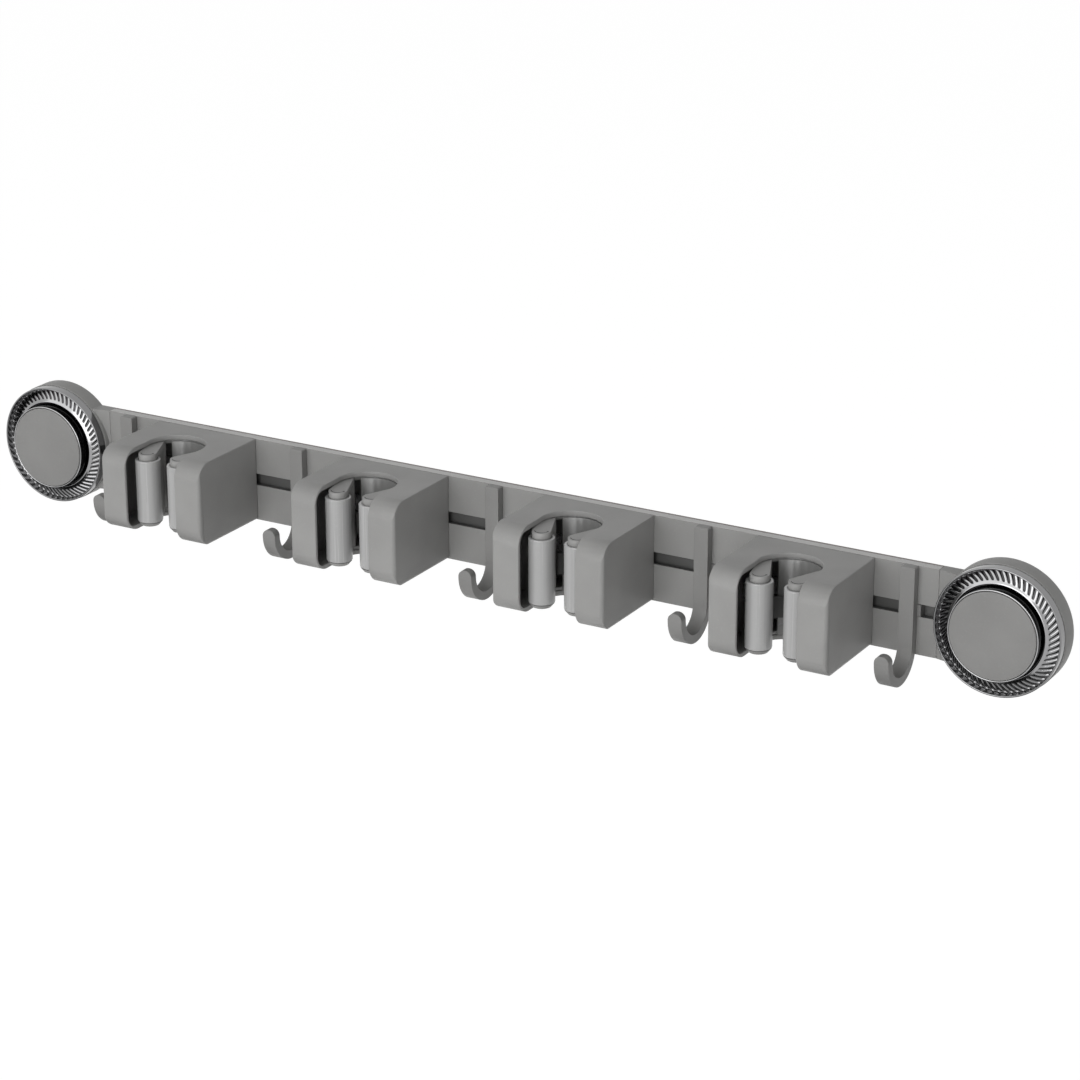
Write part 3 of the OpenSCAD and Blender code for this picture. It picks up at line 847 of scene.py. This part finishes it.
@dataclass
class Mount(Piece):
    """A round suction mount with its fluted ring, its plate and its cup."""

    side: Side = Side.LEFT
    body_edge: float = 0.6
    cad_front: float = 15.5
    ring_r: float = 35.6
    ring_back: float = 3.8
    rim_front: float = 9.5
    rim_w: float = 1.1
    rim_round: float = 0.5
    foot_bevel: float = 0.3
    gutter_rise: float = 0.7
    gutter_round: float = 0.5
    wall_step: float = 2.5
    cone_step: float = 0.32
    band_step: float = 0.4
    dish_r: float = 34.0
    dish_low: float = 5.2
    cone_r: float = 28.2
    cone_front: float = 7.8
    band_r: float = 26.9
    band_front: float = 8.5
    floor_front: float = 6.6
    web_front: float = 8.5
    web_t: float = 1.5
    skirt_r: float = 33.7
    skirt_t: float = 2.0
    skirt_back: float = 1.8
    hub_r: float = 8.0
    bore_r: float = 4.05
    drum_r: float = 25.3
    drum_t: float = 0.8
    drum_round: float = 0.4
    groove_w: float = 0.9
    drum_front: float = 14.8
    plate_r: float = 24.3
    plate_front: float = 15.2
    plate_back: float = 8.8
    plate_edge: float = 0.5
    plate_share: float = 0.6
    plate_steps: int = 192
    cup_steps: int = 160
    cup_front: float = -8.45
    cup_back: float = -12.0
    cup_middle: float = -11.75
    cup_middle_r: float = 10.0
    cup_flat_r: float = 21.2
    cup_round: float = 0.5
    cup_lip_r: float = 30.9
    cup_bead: float = 0.35
    cup_beads: tuple[Point, ...] = ((23.6, -9.2), (26.2, -9.95))
    cup_seal: tuple[Point, ...] = ((28.0, -12.0), (25.0, -11.45), (21.7, -10.9))
    pocket_r: float = 6.8
    pocket_front: float = -8.85
    pocket_back: float = -11.25
    neck_r: float = 4.3
    recess_r: float = 7.5
    recess_front: float = 11.1
    flutes: int = 60
    flute_depth: float = 0.6
    flute_lean: float = 1.2
    flute_share: float = 0.56
    flute_fade: float = 0.16
    flute_power: float = 0.9
    # Shares of painted shade on the ring's rim, drum wall, fluted cone and band, which stand in for their
    # shade and dark reflections
    rim_painted_shade: float = 0.5
    drum_painted_shade: float = 0.95
    cone_painted_shade: float = 0.3
    band_painted_shade: float = 0.2
    near: float = 0.01
    steps_per_flute: int = 12
    centre: Vector = field(default_factory=Vector)
    front: float = 0.0

    def build(self) -> None:
        """Builds and dresses the whole mount."""
        name = self.side.value
        low, high = (Vector(corner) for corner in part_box(f"knob_ring_{name}"))
        self.centre = (low + high) / 2
        self.front = low.y + self.cad_front * MM
        self.carry(f"mount_body_{name}", Finish.MOUNT, Softening(self.body_edge))
        self.carry(f"pull_stud_{name}", Finish.STEEL)
        self.ring()
        self.plate()
        self.cup()

    def place(self, radius: float, ahead: float, angle: float) -> Triple:
        """Where a point of a turned piece lies.

        Args:
            radius: its distance from the axis.
            ahead: its distance ahead of the rail's front.
            angle: its angle round the axis.

        Returns:
            The point, in metres.
        """
        return (
            self.centre.x + radius * math.cos(angle) * MM,
            self.front - ahead * MM,
            self.centre.z + radius * math.sin(angle) * MM,
        )

    def fluted(self, points: Sequence[Point]) -> list[Row]:
        """Sinks leaning flutes into the cone of the dish.

        Args:
            points: the cone's profile, from its outer to its inner end.

        Returns:
            A row function for each point.
        """
        along = (Vector(points[-1]) - Vector(points[0])).normalized()
        last = len(points) - 1
        return [self.flute_row(point, (along.y, -along.x), k / last) for k, point in enumerate(points)]

    def flute_row(self, point: Point, normal: Point, share: float) -> Row:
        """One point of the fluted profile.

        Args:
            point: the point before it is sunk.
            normal: the outward direction there.
            share: how far along a flute it lies, from 0 to 1.

        Returns:
            Its row function.
        """
        if share <= 0 or share >= 1:
            return fixed(point)
        fade = min(1.0, min(share, 1 - share) / self.flute_fade)
        swell = math.sin(fade * math.pi / 2) ** 0.5
        width = self.flute_share * swell
        depth = self.flute_depth * swell

        def row(angle: float) -> Point:
            """Sinks the point at one angle.

            Args:
                angle: the turning angle.

            Returns:
                Its radius and height.
            """
            turn = (angle * self.flutes / math.tau + self.flute_lean * share) % 1.0 - 0.5
            wave = math.cos(math.pi * turn / width) if abs(turn) < width / 2 else 0.0
            sink = wave**self.flute_power
            return (point[0] - normal[0] * depth * sink, point[1] - normal[1] * depth * sink)

        return row

    def ring(self) -> None:
        """Builds the chromed ring with its rim, its fluted dish, its drum and its skirt."""
        rim_r = self.ring_r - self.rim_round
        inside_r = self.ring_r - self.rim_w
        foot = self.ring_back + self.foot_bevel
        top = self.rim_front - self.rim_round
        gutter = self.dish_low + self.gutter_rise
        rim = [
            (self.ring_r, foot),
            *divide([(self.ring_r, foot + HOLD), (self.ring_r, top - HOLD)], self.wall_step),
            *arc((rim_r, top), self.rim_round, 0, 90, 5),
            *arc((inside_r + self.rim_round, top), self.rim_round, 90, 180, 5),
            (inside_r, gutter + HOLD),
            *arc((inside_r - self.gutter_round, gutter), self.gutter_round, 0, -60, 4),
        ]
        cone = divide([(self.dish_r, self.dish_low), (self.cone_r, self.cone_front)], self.cone_step)
        crest = (self.cone_r - HOLD, self.cone_front + HOLD / 2)
        lip = self.drum_r - self.drum_t / 2
        bend = self.drum_round
        low = self.floor_front + bend + HOLD
        high = self.drum_front - self.drum_t / 2 - HOLD
        under = self.floor_front - self.web_t
        inner = [
            *divide([crest, (self.band_r, self.band_front)], self.band_step),
            (self.band_r - 0.3, self.band_front + 0.05),
            (self.drum_r + self.groove_w, self.band_front - 0.4),
            (self.drum_r + self.groove_w - 0.1, self.floor_front + 0.3),
            (self.drum_r + 0.5, self.floor_front),
            *arc((self.drum_r + bend, self.floor_front + bend), bend, 270, 180, 4),
            *divide([(self.drum_r, low), (self.drum_r, high)], self.wall_step),
            *arc((lip, self.drum_front - self.drum_t / 2), self.drum_t / 2, 0, 180, 6),
            (self.drum_r - self.drum_t, self.web_front),
            (self.bore_r, self.web_front),
            (self.bore_r, self.skirt_back),
            (self.hub_r, self.skirt_back),
            (self.hub_r, self.web_front - self.web_t),
            (self.drum_r - self.drum_t, self.web_front - self.web_t),
            (self.drum_r - 0.4, under),
            (self.cone_r, under + 0.4),
            (self.skirt_r - self.skirt_t, self.dish_low - 0.9),
            (self.skirt_r - self.skirt_t, self.skirt_back),
            (self.skirt_r, self.skirt_back),
            (self.skirt_r, self.ring_back),
            (self.ring_r - self.foot_bevel, self.ring_back),
        ]
        name = self.side.value
        rows = [*rim, *self.fluted(cone), *inner]
        count = self.flutes * self.steps_per_flute
        thing = lathe(f"fluted_ring_{name}", rows, count, self.place, closed=True)
        self.paint_ring_shade(thing, len(rim), cone, inner)
        self.fit(thing, f"knob_{name}", "plated", Finish.CHROME, f"knob_ring_{name}")

    def paint_ring_shade(
        self, thing: Object, rim: int, cone: Sequence[Point], inner: Sequence[Point]
    ) -> None:
        """Writes the painted shade of each point of the ring as a mesh attribute: the flutes get darker the
        deeper they sink, and the rim, the band and the drum wall get fixed shares, which paint their shade
        and dark reflections.

        Args:
            thing: the ring.
            rim: how many profile points come before the cone.
            cone: the cone's profile before it is sunk.
            inner: the profile's points after the cone.
        """
        count = self.flutes * self.steps_per_flute
        # Painted shade: the flutes darker the deeper they sink, the rim, the drum wall and the band by
        # fixed shares
        painted_shade = [self.rim_painted_shade] * (rim * count)
        for row, point in zip(self.fluted(cone), cone):
            sunk = (math.dist(row(math.tau * j / count), point) / self.flute_depth for j in range(count))
            painted_shade += [self.cone_painted_shade + (1 - self.cone_painted_shade) * depth for depth in sunk]
        groove_r = self.drum_r + self.groove_w + self.near
        for radius, _ in inner:
            on_drum = self.drum_r - self.near < radius < groove_r
            on_band = groove_r < radius < self.cone_r
            painted_shade += [self.drum_painted_shade if on_drum else self.band_painted_shade * on_band] * count
        thing.data.attributes.new(PAINTED_SHADE_ATTRIBUTE, "FLOAT", "POINT").data.foreach_set("value", painted_shade)

    def plate(self) -> None:
        """Builds the flat round plate that sits in the drum."""
        edge = (self.plate_r - self.plate_edge, self.plate_front - self.plate_edge)
        profile = [
            (0.0, self.recess_front),
            (self.recess_r, self.recess_front),
            (self.recess_r, self.plate_back),
            (self.plate_r, self.plate_back),
            *arc(edge, self.plate_edge, 0, 90, 8),
            (self.plate_r * self.plate_share, self.plate_front),
            (0.0, self.plate_front),
        ]
        name = self.side.value
        thing = lathe(f"knob_plate_{name}", profile, self.plate_steps, self.place)
        self.fit(thing, f"knob_{name}", "plastic", Finish.PLATE, f"knob_disc_{name}")

    def cup(self) -> None:
        """Builds the suction cup behind the body, with its rings and its soft lip."""
        profile = [
            (0.0, self.pocket_back),
            (self.pocket_r, self.pocket_back),
            (self.pocket_r, self.pocket_front),
            (self.neck_r, self.pocket_front),
            (self.neck_r, self.cup_front),
            *arc((self.cup_flat_r, self.pocket_front), self.cup_round, 90, 30, 3),
            *(p for bead in self.cup_beads for p in arc(bead, self.cup_bead, 150, 30, 4)),
            (self.cup_lip_r - 0.3, self.cup_back + 1.25),
            *arc((self.cup_lip_r - 0.2, self.cup_back + 0.7), self.cup_bead, 60, -40, 4),
            (self.cup_lip_r, self.cup_back + 0.1),
            (self.cup_lip_r - 0.7, self.cup_back),
            *self.cup_seal,
            (self.cup_middle_r, self.cup_middle),
            (0.0, self.cup_middle),
        ]
        name = self.side.value
        thing = lathe(f"suction_cup_{name}", profile, self.cup_steps, self.place)
        self.fit(thing, "rack", "pad", Finish.CUP, f"suction_pad_{name}")


@dataclass
class Clip(Piece):
    """A handle clip: its cover, its core, its band, its spring and two sprung jaws."""

    number: int = 1
    shell_edge: float = 0.5
    core_edge: float = 0.2
    jaw_edge: float = 0.15
    rail_front: float = -12.0
    seat_ahead: float = 32.0
    band_outer: float = 17.7
    band_inner: float = 16.4
    band_span: float = 108.0
    band_steps: int = 54
    band_round: float = 0.35
    end_thin: float = 0.55
    end_short: float = 0.985
    leaf_t: float = 0.5
    leaf_h: float = 10.0
    leaf_bend: float = 2.0
    arm_off: float = 3.05
    arm_reach: float = 9.4
    base_step: float = 3.0
    tail_step: float = 1.5
    arm_step: float = 0.8
    bend_behind: float = 6.0
    pivot_x: float = 18.5
    pivot_ahead: float = 21.5
    roller_x: float = 11.2
    roller_ahead: float = 43.85
    roller_round: float = 0.6
    roller_steps: int = 96
    roller_step: float = 6.0
    journal_r: float = 2.0
    journal_l: float = 1.6
    head_journal_l: float = 1.9
    recess_r: float = 5.7
    recess_d: float = 0.6
    recess_round: float = 0.25
    mark_r: float = 3.8
    mark_w: float = 0.6
    mark_d: float = 0.35
    mark_rise: float = 0.03
    mark_start: float = -150.0
    mark_end: float = 0.0
    mark_steps: int = 24
    mark_thin: float = 0.35
    mark_lead: float = 0.12
    pit_r: float = 0.6
    pit_steps: int = 24
    centre: float = 0.0

    def build(self) -> None:
        """Builds and dresses the whole clip."""
        n = self.number
        low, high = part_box(f"housing_{n}")
        self.centre = (low[0] + high[0]) / 2 / MM
        self.carry(f"housing_{n}", Finish.SHELL, Softening(self.shell_edge))
        self.carry(f"core_{n}", Finish.CORE, Softening(self.core_edge, segments=2))
        for side in Side:
            self.carry(f"jaw_{side.value}_{n}", Finish.JAW, Softening(self.jaw_edge, segments=2))
            self.carry(f"pivot_pin_{side.value}_{n}", Finish.STEEL)
            self.roller(side)
            self.paint_groove_shade(side)
        self.band()
        self.spring()

    def roller(self, side: Side) -> None:
        """Builds one roller as a turned piece with rounded ends.

        Args:
            side: which jaw carries it.
        """
        node = f"roller_{side.value}_{self.number}"
        low, high = (Vector(corner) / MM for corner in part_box(node))
        axis = (low + high) / 2
        radius = (high.x - low.x) / 2
        journal_r, journal_l, round_r = self.journal_r, self.journal_l, self.roller_round
        recess_r, recess_d, rim = self.recess_r, self.recess_d, self.recess_round
        foot = low.z + journal_l
        head = high.z - self.head_journal_l + recess_d
        low_z, high_z = foot + round_r + HOLD, head - round_r - HOLD
        profile = [
            (0.0, low.z),
            (journal_r, low.z),
            (journal_r, foot),
            *arc((radius - round_r, foot + round_r), round_r, -90, 0, 6),
            *divide([(radius, low_z), (radius, high_z)], self.roller_step),
            *arc((radius - round_r, head - round_r), round_r, 0, 90, 6),
            *arc((recess_r + rim, head - rim), rim, 90, 180, 3),
            (recess_r, head - recess_d),
            (journal_r, head - recess_d),
            (journal_r, high.z),
            (0.0, high.z),
        ]
        name = f"roller_sleeve_{side.value}_{self.number}"
        thing = lathe(name, profile, self.roller_steps, upright(axis.x, axis.y))
        self.fit(thing, node, "roller", Finish.ROLLER, node)

    def paint_groove_shade(self, side: Side) -> None:
        """Lays dark sheets in the curved groove and the pit on top of a jaw's cap, which paint the shade in
        them.

        Args:
            side: which jaw it is on.
        """
        n = self.number
        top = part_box(f"jaw_{side.value}_{n}")[1][2] / MM
        hub = Vector((self.centre + side.sign * self.roller_x, self.rail_front - self.roller_ahead))
        verts: list[Triple] = []
        last = self.mark_steps
        for k in range(last + 1):
            share = k / last
            angle = math.radians(self.mark_start + (self.mark_end - self.mark_start) * share)
            grow = math.sin(math.pi * min(1.0, share + self.mark_lead)) ** 0.5
            swell = self.mark_w * (self.mark_thin + (1 - self.mark_thin) * grow) / 2
            for radius, z in (
                (self.mark_r - swell, top - self.mark_d),
                (self.mark_r + swell, top - self.mark_d),
                (self.mark_r + swell, top + self.mark_rise),
                (self.mark_r - swell, top + self.mark_rise),
            ):
                spot = hub + radius * Vector((math.cos(angle), math.sin(angle)))
                verts.append((spot.x * MM, spot.y * MM, z * MM))
        # A dark sheet in the groove, which paints its shade
        thing = new_object(f"cap_line_{side.value}_{n}", verts, tube(last + 1, 4))
        self.fit(thing, f"jaw_{side.value}_{n}", "plastic", Finish.MARK)
        spot = hub + Vector((self.mark_r, 0.0))
        profile = [
            (0.0, top - self.mark_d),
            (self.pit_r, top - self.mark_d),
            (self.pit_r, top + self.mark_rise),
            (0.0, top + self.mark_rise),
        ]
        # A dark plug in the pit, which paints its shade
        pit = lathe(f"cap_pit_{side.value}_{n}", profile, self.pit_steps, upright(spot.x, spot.y))
        self.fit(pit, f"jaw_{side.value}_{n}", "plastic", Finish.MARK)

    def band(self) -> None:
        """Builds the rubber strip that lines the back of the seat."""
        node = f"band_{self.number}"
        low, high = (Vector(corner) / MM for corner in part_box(node))
        seat_y = self.rail_front - self.seat_ahead
        bend = self.band_round
        outer, inner = self.band_outer - bend, self.band_inner + bend
        top, foot = high.z - bend, low.z + bend
        corners = ((outer, top, 0), (inner, top, 90), (inner, foot, 180), (outer, foot, 270))
        profile = [p for x, y, turn in corners for p in arc((x, y), bend, turn, turn + 90, 4)]
        middle = (self.band_outer + self.band_inner) / 2
        level = (low.z + high.z) / 2
        place = upright(self.centre, seat_y)
        verts = []
        for k in range(self.band_steps + 1):
            angle = math.radians(90 + self.band_span * (k / self.band_steps - 0.5))
            at_end = k in (0, self.band_steps)
            thin, short = (self.end_thin, self.end_short) if at_end else (1.0, 1.0)
            for radius, height in profile:
                r = middle + (radius - middle) * thin
                verts.append(place(r, level + (height - level) * short, angle))
        faces = tube(self.band_steps + 1, len(profile))
        thing = new_object(f"band_strip_{self.number}", verts, faces, sharp=50.0)
        self.fit(thing, f"clip_{self.number}", "band", Finish.BAND, node)

    def leaf(self, name: str, route: Sequence[Point]) -> Object:
        """Builds a bent leaf of spring steel along a route seen from above.

        Args:
            name: the piece's name.
            route: its middle line, in the clip's frame.

        Returns:
            The new object.
        """
        verts = []
        for k, point in enumerate(route):
            before = Vector(route[max(0, k - 1)])
            after = Vector(route[min(len(route) - 1, k + 1)])
            along = (after - before).normalized()
            across = Vector((-along.y, along.x)) * self.leaf_t / 2
            for s, z in ((-1, -1), (1, -1), (1, 1), (-1, 1)):
                x = self.centre + point[0] + s * across.x
                y = self.rail_front + point[1] + s * across.y
                verts.append((x * MM, y * MM, z * self.leaf_h / 2 * MM))
        return new_object(name, verts, tube(len(route), 4), sharp=40.0)

    def spring(self) -> None:
        """Builds the leaf spring: a base on the core and an arm towards each jaw."""
        n = self.number
        node = f"leaf_spring_{n}"
        low, high = (Vector(corner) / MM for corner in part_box(node))
        side_x = (high.x - low.x) / 2 - self.leaf_t / 2
        base_y = high.y - self.rail_front - self.leaf_t / 2
        bend = self.leaf_bend
        base = divide([(bend - side_x, base_y), (side_x - bend, base_y)], self.base_step)
        thing = self.leaf(f"spring_base_{n}", base)
        self.fit(thing, f"clip_{n}", "steel", Finish.STEEL, node)
        angle = math.atan2(self.pivot_x - self.roller_x, self.roller_ahead - self.pivot_ahead)
        off, reach = self.arm_off, self.arm_reach
        heel = (
            self.pivot_x + off * math.cos(angle) - reach * math.sin(angle),
            -self.pivot_ahead - off * math.sin(angle) - reach * math.cos(angle),
        )
        for side in Side:
            g = side.sign
            corner = arc((side_x - bend, base_y - bend), bend, 90, 0, 8)
            pivot = (side_x, -self.pivot_ahead)
            tail = divide([(side_x, base_y - bend), pivot], self.tail_step)
            reach_in = divide([pivot, heel], self.arm_step)
            route = [(g * x, y) for x, y in [*corner, *tail[1:], *reach_in[1:]]]
            arm = self.leaf(f"spring_arm_{side.value}_{n}", route)
            self.wardrobe.dress(arm, Finish.STEEL)
            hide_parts(node)
            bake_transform(arm)
            LOG.info("built %s", arm.name)


# The studio


@dataclass(frozen=True)
class Lamp:
    """A large soft lamp that faces the rack."""

    name: str
    towards: Triple
    light: float
    size: float
    reach: float = 2.2

    def build(self) -> None:
        """Adds the lamp, whose light is how bright a white surface that faces it gets."""
        data = bpy.data.lights.new(self.name, "AREA")
        data.shape = "SQUARE"
        data.size = self.size
        data.energy = self.light * (math.pi * self.reach) ** 2
        lamp = bpy.data.objects.new(self.name, data)
        bpy.context.scene.collection.objects.link(lamp)
        towards = Vector(self.towards).normalized()
        lamp.location = towards * self.reach
        lamp.rotation_euler = towards.to_track_quat("Z", "Y").to_euler()


LAMPS = (
    Lamp("key_lamp", (-0.30, -0.85, 0.46), 0.42, 2.6),
    Lamp("front_lamp", (0.10, -1.0, 0.12), 0.40, 1.6),
    Lamp("side_lamp", (1.0, -0.35, 0.25), 0.066, 1.4),
)


@dataclass
class Studio:
    """Floor, lamps, world and camera."""

    floor_z: float = -0.30
    floor_size: float = 9.0
    ambient: float = 0.255
    floor_glow: float = 1.13
    floor_share: float = 0.85
    floor_rough: float = 0.9
    floor_tone: tuple[float, float, float, float] = (0.8, 0.8, 0.8, 1.0)
    card_x: float = 0.306
    card_shift: float = 0.1
    card_size: float = 0.34
    card_rise: float = 0.03
    card_tone: tuple[float, float, float, float] = (0.02, 0.02, 0.02, 1.0)
    focal_pixels: float = 3317.14
    frame_pixels: float = 1080.0
    sensor: float = 36.0
    eye: Triple = (0.89963, -1.51297, 0.63983)
    right: Triple = (0.86520, 0.50142, -0.00221)
    down: Triple = (0.17230, -0.30144, -0.93779)
    ahead: Triple = (-0.47089, 0.81100, -0.34720)

    def build(self) -> None:
        """Sets up everything around the rack."""
        bpy.context.scene.view_settings.view_transform = "Standard"
        self.world()
        self.floor()
        for lamp in LAMPS:
            lamp.build()
        self.flags()
        self.camera()

    def seen(self, nodes: Nodes) -> Socket:
        """A mask that is 1 where a ray shows the background.

        Args:
            nodes: the tree to build in.

        Returns:
            The mask's socket.
        """
        path = nodes.add("ShaderNodeLightPath")
        camera = path.outputs["Is Camera Ray"]
        glossy = nodes.math("MAXIMUM", camera, path.outputs["Is Glossy Ray"])
        return nodes.math("MAXIMUM", glossy, path.outputs["Is Transmission Ray"])

    def world(self) -> None:
        """White where it is seen, and a plain grey light where it lights."""
        world = bpy.data.worlds.new("studio")
        world.use_nodes = True
        bpy.context.scene.world = world
        world.node_tree.nodes.clear()
        nodes = Nodes(world.node_tree)
        lit = nodes.add("ShaderNodeBackground", {"Color": WHITE, "Strength": self.ambient})
        white = nodes.add("ShaderNodeBackground", {"Color": WHITE, "Strength": 1.0})
        feeds = {0: self.seen(nodes), 1: lit.outputs[0], 2: white.outputs[0]}
        mix = nodes.add("ShaderNodeMixShader", feeds)
        nodes.add("ShaderNodeOutputWorld", {"Surface": mix.outputs[0]})

    def floor(self) -> None:
        """A pale floor well under the rack, white where it is seen, which keeps a soft shadow."""
        thing = sheet("floor", 0.0, 0.0, self.floor_z, self.floor_size / 2)
        material, nodes, shader, end = new_material("floor")
        shader.inputs["Base Color"].default_value = self.floor_tone
        shader.inputs["Roughness"].default_value = self.floor_rough
        shader.inputs["Specular IOR Level"].default_value = 0.0
        glow = nodes.add("ShaderNodeEmission", {"Strength": self.floor_glow})
        share = nodes.math("MULTIPLY", self.seen(nodes), self.floor_share)
        feeds = {0: share, 1: shader.outputs[0], 2: glow.outputs[0]}
        nodes.feed(end.inputs["Surface"], nodes.add("ShaderNodeMixShader", feeds).outputs[0])
        thing.data.materials.append(material)

    def flags(self) -> None:
        """Dark cards below the two mounts, which the polished rings reflect."""
        material, nodes, shader, end = new_material("dark_card")
        material.node_tree.nodes.remove(shader)
        glow = nodes.add("ShaderNodeEmission", {"Color": self.card_tone})
        nodes.feed(end.inputs["Surface"], glow.outputs[0])
        for side in Side:
            x, z = side.sign * self.card_x - self.card_shift, self.floor_z + self.card_rise
            card = sheet(f"dark_card_{side.value}", x, -self.card_shift, z, self.card_size / 2)
            card.data.materials.append(material)
            card.visible_camera = card.visible_diffuse = False
            card.visible_shadow = card.visible_transmission = False

    def camera(self) -> None:
        """Sets the camera where the photograph was taken."""
        data = bpy.data.cameras.new("camera")
        data.sensor_width = self.sensor
        data.lens = self.focal_pixels / self.frame_pixels * self.sensor
        data.clip_start = 0.01
        camera = bpy.data.objects.new("camera", data)
        bpy.context.scene.collection.objects.link(camera)
        r, d, f, e = self.right, self.down, self.ahead, self.eye
        camera.matrix_world = Matrix(
            [(r[k], -d[k], -f[k], e[k]) for k in range(3)] + [(0.0, 0.0, 0.0, 1.0)]
        )
        bpy.context.scene.camera = camera


def main() -> None:
    """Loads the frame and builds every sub-assembly in order."""
    logging.basicConfig(level=logging.INFO, format="%(name)s: %(message)s")
    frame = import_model()
    wardrobe = Wardrobe()
    nodes = frame["nodes"]
    pieces: list[Piece] = [Rail(nodes, wardrobe)]
    pieces += [Mount(nodes, wardrobe, side=side) for side in Side]
    pieces += [Hook(nodes, wardrobe, number=n) for n in range(1, HOOKS + 1)]
    pieces += [Clip(nodes, wardrobe, number=n) for n in range(1, CLIPS + 1)]
    for piece in pieces:
        piece.build()
    Studio().build()
    LOG.info("finished %d sub-assemblies", len(pieces))


if __name__ == "__main__":
    main()
